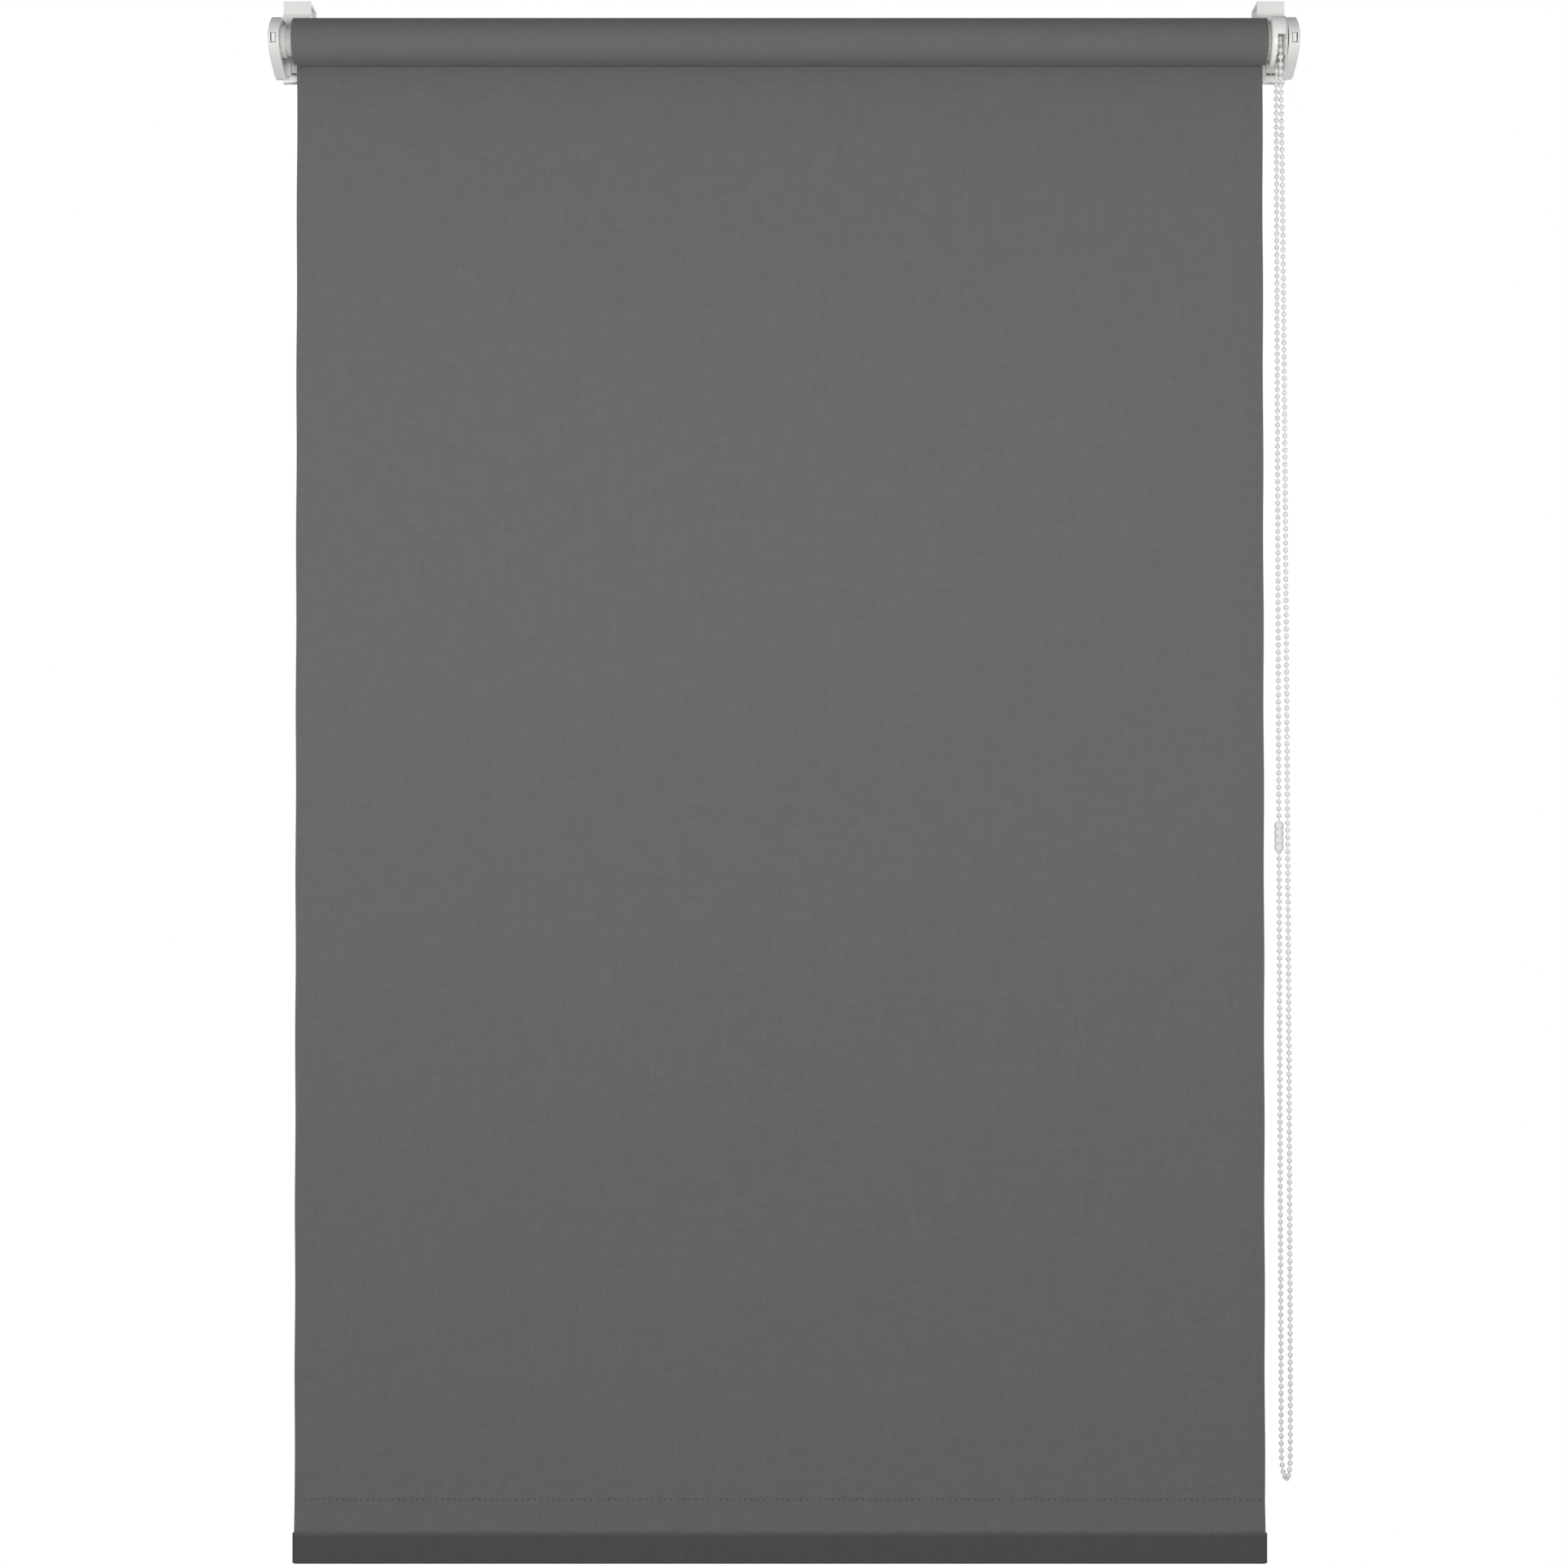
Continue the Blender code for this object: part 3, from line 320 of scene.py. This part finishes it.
def plastic_material(name, base, shade, gloss, coat=0.0, inner=0.0):
    """Moulded plastic: base and shade colours, roughness, clear coat and light let inside."""
    mat, nodes, links, shader = blank(name)
    place = nodes.new("ShaderNodeTexCoord")
    grain = nodes.new("ShaderNodeGroup")
    grain.node_tree = MOULDING
    grain.inputs["Base"].default_value = (*base, 1)
    grain.inputs["Shade"].default_value = (*shade, 1)
    grain.inputs["Gloss"].default_value = gloss
    links.new(place.outputs["Object"], grain.inputs["Vector"])
    links.new(grain.outputs["Color"], shader.inputs["Base Color"])
    links.new(grain.outputs["Roughness"], shader.inputs["Roughness"])
    bumped(nodes, links, shader, grain.outputs["Height"], strength=0.12, distance=0.1 * MM)
    shader.inputs["Coat Weight"].default_value = coat
    if inner:
        shader.inputs["Subsurface Weight"].default_value = inner
        shader.inputs["Subsurface Radius"].default_value = (1.0, 1.0, 0.9)
        shader.inputs["Subsurface Scale"].default_value = 2.0 * MM
    return mat


def metal_material(name, colour, rough, direction):
    """Drawn metal with fine lines along one direction."""
    mat, nodes, links, shader = blank(name)
    place = nodes.new("ShaderNodeTexCoord")
    lines = stretched_noise(nodes, links, place.outputs["Object"], direction, scale=900.0)
    line_shade, line_rough = 0.8, 0.2
    dark = tuple(c * line_shade for c in colour)
    links.new(blend_colour(nodes, links, lines, (*dark, 1), (*colour, 1)),
              shader.inputs["Base Color"])
    spread = math_node(nodes, links, "MULTIPLY", lines, line_rough)
    links.new(math_node(nodes, links, "ADD", spread, rough), shader.inputs["Roughness"])
    shader.inputs["Metallic"].default_value = 1.0
    bumped(nodes, links, shader, lines, strength=0.1, distance=0.05 * MM)
    return mat


WEAVE, MOULDING = weave_group(), moulding_group()
# Painted shade of the bottom bar inside the hem: the hem cloth is darkened from about the bar's top
# down.
BAR_PAINTED_SHADOW_TINT = (0.60, 0.58, 0.57)
HEM_PAINTED_SHADOW_BAND = (BAR_HIGH.z - 2.0 * MM, BAR_HIGH.z + 2.0 * MM, BAR_PAINTED_SHADOW_TINT)
FINISH = {
    # The three cloth finishes are copies of one cloth. The hanging sheet's copy is painted a little
    # lighter than the roll's and the hem's, standing in for light coming through the cloth.
    "sheet": cloth_material("anthracite_cloth_painted_lighter", light=(0.162, 0.164, 0.170),
                            dark=(0.118, 0.120, 0.125)),
    "roll": cloth_material("wound_cloth", light=(0.160, 0.162, 0.166),
                           dark=(0.116, 0.118, 0.121)),
    "hem": cloth_material("hem_cloth", light=(0.158, 0.160, 0.165),
                          dark=(0.114, 0.116, 0.121), painted_shade_band=HEM_PAINTED_SHADOW_BAND),
    "weld": cloth_material("pressed_cloth", light=(0.115, 0.116, 0.120),
                           dark=(0.075, 0.076, 0.080)),
    "white": plastic_material("white_moulding", base=(0.86, 0.865, 0.84),
                              shade=(0.73, 0.73, 0.66), gloss=0.34),
    "warm": plastic_material("warm_moulding", base=(0.72, 0.72, 0.64),
                             shade=(0.50, 0.49, 0.38), gloss=0.36),
    "milky": plastic_material("milky_moulding", base=(0.96, 0.97, 0.90),
                              shade=(0.88, 0.89, 0.78), gloss=0.22, coat=0.3, inner=0.7),
    "bead": plastic_material("bead_plastic", base=(0.85, 0.86, 0.84),
                             shade=(0.75, 0.76, 0.73), gloss=0.22, coat=0.25),
    "clear": plastic_material("clear_moulding", base=(0.93, 0.94, 0.91),
                              shade=(0.80, 0.82, 0.77), gloss=0.1, coat=0.6, inner=0.3),
    "dark": plastic_material("anthracite_moulding", base=(0.05, 0.05, 0.053),
                             shade=(0.03, 0.03, 0.032), gloss=0.4),
    "aluminium": metal_material("drawn_aluminium", colour=(0.78, 0.78, 0.79), rough=0.28,
                                direction=(0.02, 1.0, 1.0)),
    "steel": metal_material("zinc_plated_steel", colour=(0.62, 0.62, 0.63), rough=0.25,
                            direction=(1.0, 1.0, 0.1)),
    "foam": plastic_material("foam", base=(0.60, 0.60, 0.58), shade=(0.45, 0.45, 0.43),
                             gloss=0.75),
}
CAD_FINISH = {
    "white": ["left_hook", "right_hook", "left_carrier", "right_carrier", "left_side_cover",
              "right_side_cover", "left_side_plate", "right_side_plate", "idler_plug"],
    "warm": ["drive_plug"],
    "milky": ["chain_housing", "housing_cap", "chain_wheel", "drive_spindle"],
    "bead": ["bead_chain", "chain_turn"],
    "clear": ["chain_joiner"],
    "dark": ["left_bar_cap", "right_bar_cap"],
    "aluminium": ["roller_tube", "bottom_bar"],
    "steel": ["left_clamp_screw", "right_clamp_screw", "idler_pin", "idler_spring", "spindle_clip",
              "brake_spring_1", "brake_spring_2"],
    "foam": ["left_pad", "right_pad", "mounting_tape"],
    "sheet": ["hanging_fabric", "wound_fabric", "hem_pocket"],
}


def paint(obj, finish):
    obj.data.materials.clear()
    obj.data.materials.append(FINISH[finish])


def paint_frame():
    for finish, names in CAD_FINISH.items():
        for name in names:
            paint(frame["nodes"][name], finish)


# ---- modelling helpers -------------------------------------------------------------------------
def deselect():
    for obj in bpy.context.selected_objects:
        obj.select_set(False)


def from_points(name, points, faces, finish, body):
    mesh = bpy.data.meshes.new(name)
    mesh.from_pydata([tuple(p) for p in points], [], faces)
    mesh.update()
    obj = bpy.data.objects.new(name, mesh)
    bpy.context.scene.collection.objects.link(obj)
    return dressed(obj, finish, body)


def dressed(obj, finish, body):
    paint(obj, finish)
    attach(obj, body)
    return obj


def apply_modifiers(obj):
    deselect()
    obj.select_set(True)
    bpy.context.view_layer.objects.active = obj
    for mod in list(obj.modifiers):
        bpy.ops.object.modifier_apply(modifier=mod.name)


def smooth(obj, degrees=35):
    deselect()
    obj.select_set(True)
    bpy.context.view_layer.objects.active = obj
    bpy.ops.object.shade_smooth_by_angle(angle=math.radians(degrees))


# ---- cloth -------------------------------------------------------------------------------------
def ripple(x, z, drop):
    """How far the cloth lies off its plane: long soft waves, widest between roll and hem."""
    full_drop, wide_wave, short_wave = 0.9, 0.6 * MM, 0.4 * MM
    low = min(1.0, max(0.0, drop / full_drop))
    return (wide_wave * math.sin(9.0 * x + 1.1) * low * (1 - low) * 2
            + short_wave * math.sin(23.0 * x + 4.0 * z) * low * (1.0 - 0.6 * low))


def grid_faces(rows, columns):
    """Quads of a grid of points that was written row by row."""
    faces = []
    for j in range(rows):
        for i in range(columns):
            a = j * (columns + 1) + i
            faces.append((a, a + columns + 1, a + columns + 2, a + 1))
    return faces


def cloth_piece(name, points, faces, finish, body, thickness, crease=35):
    """A woven piece: a grid of points, with the cloth's thickness put half to each side."""
    obj = from_points(name, points, faces, finish, body)
    solid = obj.modifiers.new("cloth", "SOLIDIFY")
    solid.thickness = thickness
    solid.offset = 0.0
    apply_modifiers(obj)
    smooth(obj, crease)
    return obj


def hanging_sheet():
    """The cloth between the roll and the weld line, as one thin sheet."""
    columns, rows = 120, 150
    top, low = SHEET_HIGH.z, SHEET_LOW.z
    flat_end, edge_wave = 0.05, 0.15 * MM
    points = []
    for j in range(rows + 1):
        z = top + (low - top) * j / rows
        fade = min(1.0, (z - low) / flat_end) * min(1.0, (top - z) / flat_end)
        for i in range(columns + 1):
            x = SHEET_LOW.x + (SHEET_HIGH.x - SHEET_LOW.x) * i / columns
            edge = edge_wave * math.sin(z * 61.0) if i in (0, columns) else 0.0
            points.append((x + edge, SHEET_Y + ripple(x, z, top - z) * fade, z))
    obj = cloth_piece("hanging_sheet", points, grid_faces(rows, columns), "sheet", "brackets",
                      CLOTH)
    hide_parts("hanging_fabric")
    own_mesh(obj)


def fabric_roll():
    """The cloth wound on the tube, as one spiral sheet that ends where the hanging part begins."""
    over_tube, air, steps_per_turn, columns = 0.5 * MM, 0.03 * MM, 72, 24
    inner, outer = TUBE_R + over_tube, ROLL_R - CLOTH / 2
    layer = CLOTH + air
    turns = (outer - inner) / layer
    steps = int(turns * steps_per_turn)
    edge_wave, edge_set_in = 0.18 * MM, 0.2 * MM
    points = []
    for j in range(steps + 1):
        angle = 2 * math.pi * turns * j / steps
        radius = outer - layer * turns * j / steps
        for i in range(columns + 1):
            x = ROLL_LOW.x + (ROLL_HIGH.x - ROLL_LOW.x) * i / columns
            if i in (0, columns):
                outwards = 1 if i else -1
                x += outwards * (edge_wave * math.sin(angle * 0.37 + 2.0) - edge_set_in)
            points.append((x, AXIS.y + radius * math.cos(angle),
                           AXIS.z + radius * math.sin(angle)))
    obj = cloth_piece("fabric_roll", points, grid_faces(steps, columns), "roll", "roller", CLOTH)
    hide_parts("wound_fabric")


def swell(low, high, share):
    """A soft step from one value to another as the share goes from 0 to 1."""
    share = min(1.0, max(0.0, share))
    return low + (high - low) * (3 * share * share - 2 * share ** 3)


def hem_section():
    """Outline of the hem from the front weld edge, round the bar and up to the back edge."""
    half = (HEM_HIGH.y - HEM_LOW.y) / 2 - CLOTH / 2
    weld, bar_top, turn_r = HEM_HIGH.z - 2.5 * MM, BAR_HIGH.z, half - CLOTH / 2
    lap, steps = 0.2 * MM, 14
    behind = CLOTH * 1.05
    front = [(0.0, SHEET_LOW.z + lap), (0.0, HEM_HIGH.z)]
    back = [(behind, HEM_HIGH.z)]
    for i in range(steps + 1):
        share = i / steps
        z = weld + (bar_top - weld) * share
        front.append((swell(0.0, -half, share), z))
        back.append((swell(behind, half, share), z))
    straight_steps, turn_steps = 5, 7
    for i in range(1, straight_steps + 1):
        z = bar_top + (HEM_LOW.z + half - bar_top) * i / straight_steps
        front.append((-half, z))
        back.append((half, z))
    for i in range(1, turn_steps + 1):
        angle = math.pi / 2 * i / turn_steps
        z = HEM_LOW.z + half - turn_r * math.sin(angle)
        front.append((-half * math.cos(angle), z))
        back.append((half * math.cos(angle), z))
    return front + list(reversed(back[:-1]))


def hem_cloth():
    """Cloth folded round the bar: one layer runs on from the sheet, the other is welded to it."""
    outline, columns = hem_section(), 120
    points = []
    width = HEM_HIGH.x - HEM_LOW.x
    pressed = CLOTH * 0.9
    for k in range(columns + 1):
        x = HEM_LOW.x + width * k / columns
        slack = 0.06 * MM * math.sin(41.0 * x) + 0.04 * MM * math.sin(97.0 * x + 1.0)
        for y, z in outline:
            loose = (min(1.0, max(0.0, (HEM_HIGH.z - z) / (10.0 * MM)))
                     * min(1.0, abs(y) / (1.0 * MM)))
            points.append((x, SHEET_Y + y + math.copysign(slack, y) * loose, z))
    obj = cloth_piece("hem_cloth", points, grid_faces(columns, len(outline) - 1), "hem", "hem",
                      pressed, crease=50)
    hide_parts("hem_pocket")


def weld_line():
    """Row of small pressed weld points that closes the hem, one modelled and arrayed."""
    pitch, radius, deep = 3.83 * MM, 0.55 * MM, 0.30 * MM
    start, end, below_edge = HEM_LOW.x + 3.0 * MM, HEM_HIGH.x - 2.0 * MM, 1.2 * MM
    deselect()
    bpy.ops.mesh.primitive_cylinder_add(
        vertices=8, radius=radius, depth=deep, rotation=(math.pi / 2, 0.0, 0.0),
        location=(start, SHEET_Y - CLOTH / 2, HEM_HIGH.z - below_edge))
    obj = bpy.context.object
    obj.name = "weld_line"
    bpy.ops.object.transform_apply(location=True, rotation=True, scale=True)
    bpy.ops.object.mode_set(mode="EDIT")
    bpy.ops.mesh.select_all(action="DESELECT")
    shape = bmesh.from_edit_mesh(obj.data)
    for face in shape.faces:
        face.select = face.normal.y < -0.9
    bmesh.update_edit_mesh(obj.data)
    bpy.ops.mesh.inset(thickness=0.2 * MM, depth=-0.06 * MM)
    bpy.ops.object.mode_set(mode="OBJECT")
    row = obj.modifiers.new("row", "ARRAY")
    row.use_relative_offset = False
    row.use_constant_offset = True
    row.constant_offset_displace = (pitch, 0.0, 0.0)
    row.count = int((end - start) / pitch) + 1
    apply_modifiers(obj)
    dressed(obj, "weld", "hem")


# ---- bead chain --------------------------------------------------------------------------------
# Each row: x in mm, how far in y from its own strand in mm (None for none), z in mm. The rows go
# down the front strand, round the bottom and up the rear strand. Rows 0 to LAST_FRONT_ROW are
# measured from the front strand, the others from the rear one.
LAST_FRONT_ROW = 12
CHAIN_ROUTE = [
    (305.1, None, -29.0), (305.3, None, -50.0), (306.0, None, -100.0),
    (306.9, None, -200.0), (307.7, None, -330.0), (308.4, None, -470.0),
    (309.0, None, -620.0), (309.4, None, -760.0), (309.5, None, -850.0),
    (309.4, None, -895.0), (309.2, 0.9, -905.0), (308.8, 4.0, -910.6),
    (308.1, WHEEL_R / MM, -913.0), (307.4, -4.0, -910.6), (306.9, -0.9, -905.0),
    (306.65, None, -895.0), (306.55, None, -850.0), (306.27, None, -690.0),
    (305.92, None, -510.0), (305.6, None, -320.0), (305.3, None, -145.0),
    (305.1, None, -29.0),
]


def chain_points():
    """The route's points in metres: on the front strand, round the bottom, up the rear strand."""
    points = []
    for k, (x, step, z) in enumerate(CHAIN_ROUTE):
        y = (FRONT_Y if k <= LAST_FRONT_ROW else REAR_Y) + (step or 0.0) * MM
        points.append(Vector((x * MM, y, z * MM)))
    return points


def smooth_route(points, spacing):
    """Points about a spacing apart on a Catmull-Rom curve through the given points."""
    knots = [2 * points[0] - points[1]] + points + [2 * points[-1] - points[-2]]
    route = []
    for a, b, c, d in zip(knots, knots[1:], knots[2:], knots[3:]):
        steps = max(1, round((c - b).length / spacing))
        for i in range(steps):
            t = i / steps
            route.append(0.5 * (2 * b + (c - a) * t + (2 * a - 5 * b + 4 * c - d) * t * t
                                + (3 * b - a - 3 * c + d) * t ** 3))
    route.append(knots[-2])
    return route


def spaced(route, pitch, first):
    """Points a pitch apart along a route from a first distance on, with their directions."""
    found, walked, target = [], 0.0, first
    for a, b in zip(route, route[1:]):
        length = (b - a).length
        while target <= walked + length:
            found.append((a.lerp(b, (target - walked) / length), (b - a).normalized()))
            target += pitch
        walked += length
    return found


def bead_shape():
    """Points and faces of one round bead, with its poles where the string goes in and out."""
    deselect()
    bpy.ops.mesh.primitive_uv_sphere_add(segments=12, ring_count=8, radius=BEAD_R)
    obj = bpy.context.object
    points = [v.co.copy() for v in obj.data.vertices]
    faces = [tuple(f.vertices) for f in obj.data.polygons]
    bpy.data.objects.remove(obj, do_unlink=True)
    return points, faces


def string_rings(route, sides, radius):
    """Points of a thin round string: rings carried along the route without twisting."""
    rings, side = [], None
    for k, centre in enumerate(route):
        along = (route[min(k + 1, len(route) - 1)] - route[max(k - 1, 0)]).normalized()
        side = Vector((1.0, 0.0, 0.0)) if side is None else side
        side = (side - along * side.dot(along)).normalized()
        up = along.cross(side)
        rings.append([centre + radius * (math.cos(a) * side + math.sin(a) * up)
                      for a in (2 * math.pi * s / sides for s in range(sides))])
    return rings


def beaded(name, route, pitch, first, body):
    """Beads moulded on a thin string: one mesh of small spheres and the string between them."""
    bead, bead_faces = bead_shape()
    points, faces = [], []
    for centre, along in spaced(route, pitch, first):
        turn = along.to_track_quat("Z", "Y").to_matrix()
        base = len(points)
        points += [centre + turn @ p for p in bead]
        faces += [tuple(base + i for i in face) for face in bead_faces]
    sides, base = 8, len(points)
    rings = string_rings(route, sides, STRING_R)
    points += [p for ring in rings for p in ring]
    for k in range(len(rings) - 1):
        low = base + k * sides
        faces += [(low + s, low + (s + 1) % sides, low + sides + (s + 1) % sides, low + sides + s)
                  for s in range(sides)]
    faces.append(tuple(reversed(range(base, base + sides))))
    faces.append(tuple(range(len(points) - sides, len(points))))
    obj = from_points(name, points, faces, "bead", body)
    smooth(obj, 60)
    return obj


def route_length(route):
    return sum((b - a).length for a, b in zip(route, route[1:]))


def chain():
    """The hanging loop of beads and the half turn of them over the wheel."""
    route = smooth_route(chain_points(), BEAD_PITCH / 2)
    length = route_length(route)
    beads = round(length / BEAD_PITCH)
    pitch = length / beads
    strand = beaded("bead_strand", route, pitch, pitch / 2, "brackets")
    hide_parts("bead_chain")
    steps = 39
    angles = [math.pi * i / steps for i in range(steps + 1)]
    turn = [Vector((CHAIN_X, AXIS.y + WHEEL_R * math.cos(angle),
                    AXIS.z + WHEEL_R * math.sin(angle))) for angle in angles]
    half_turn = beaded("bead_turn", turn, pitch, pitch / 2, "brackets")
    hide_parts("chain_turn")


# ---- idler spring ------------------------------------------------------------------------------
def pin_spring():
    """Compression spring behind the idler pin: a wire ring swept round the roller axis."""
    low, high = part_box("idler_spring")
    wire, turns, steps_per_turn, sides = 0.35 * MM, 6, 24, 8
    coil_r = (high.z - low.z) / 2 - wire
    length = high.x - low.x - 2 * wire
    deselect()
    bpy.ops.mesh.primitive_circle_add(vertices=sides, radius=wire, location=(0.0, 0.0, coil_r),
                                      rotation=(math.pi / 2, 0.0, 0.0))
    obj = bpy.context.object
    obj.name = "pin_spring"
    bpy.ops.object.transform_apply(location=True, rotation=True, scale=True)
    sweep = obj.modifiers.new("coils", "SCREW")
    sweep.axis = "X"
    sweep.screw_offset = length / turns
    sweep.iterations = turns
    sweep.steps = sweep.render_steps = steps_per_turn
    apply_modifiers(obj)
    obj.location = (low.x + wire, AXIS.y, AXIS.z)
    bpy.ops.object.transform_apply(location=True, rotation=True, scale=True)
    bpy.ops.object.mode_set(mode="EDIT")
    bpy.ops.mesh.select_all(action="SELECT")
    bpy.ops.mesh.fill_holes(sides=sides)
    bpy.ops.mesh.normals_make_consistent(inside=False)
    bpy.ops.object.mode_set(mode="OBJECT")
    smooth(obj, 50)
    dressed(obj, "steel", "roller")
    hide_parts("idler_spring")
    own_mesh(obj)


# ---- build -------------------------------------------------------------------------------------
camera()
studio()
floor()
paint_frame()
chain()
fabric_roll()
hem_cloth()
hanging_sheet()
weld_line()
pin_spring()
